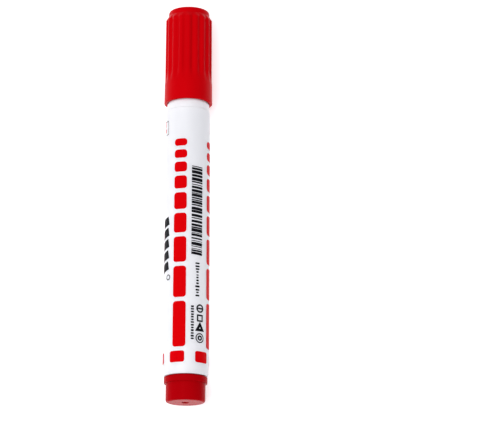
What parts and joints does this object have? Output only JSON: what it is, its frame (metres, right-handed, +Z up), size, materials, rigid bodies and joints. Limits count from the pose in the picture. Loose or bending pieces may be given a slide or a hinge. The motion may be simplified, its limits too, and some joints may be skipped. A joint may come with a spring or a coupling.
{
  "type": "whiteboard marker",
  "caption": "Round whiteboard marker lying on its side, with a fluted pull-off cap, a bullet nib on a stepped nose and a plugged tail.",
  "frame": {"origin": "on the surface that the marker lies on, under the middle of its length", "axes": "+Y along the marker's axis from the plugged tail to the tip, +Z up"},
  "size_m": [0.0166, 0.1382, 0.0165],
  "materials": {
    "white_plastic": "satin moulded white, with red print",
    "plug_plastic": "satin moulded red",
    "cap_plastic": "satin moulded red",
    "liner_plastic": "soft, milky",
    "nib_fibre": "felted fibre wet with red ink",
    "ink_fibre": "bundled fibre soaked with red ink",
    "film": "thin clear film"
  },
  "bodies": {
    "barrel": {"barrel": "white_plastic", "end_plug": "plug_plastic", "nib": "nib_fibre", "reservoir_fibre": "ink_fibre", "reservoir_film": "film"},
    "cap": {"cap_shell": "cap_plastic", "cap_liner": "liner_plastic"}
  },
  "joints": [
    {"name": "cap_pull", "type": "slide", "parent": "barrel", "child": "cap", "axis": [0, 1, 0], "range_m": [0, 0.03]}
  ]
}
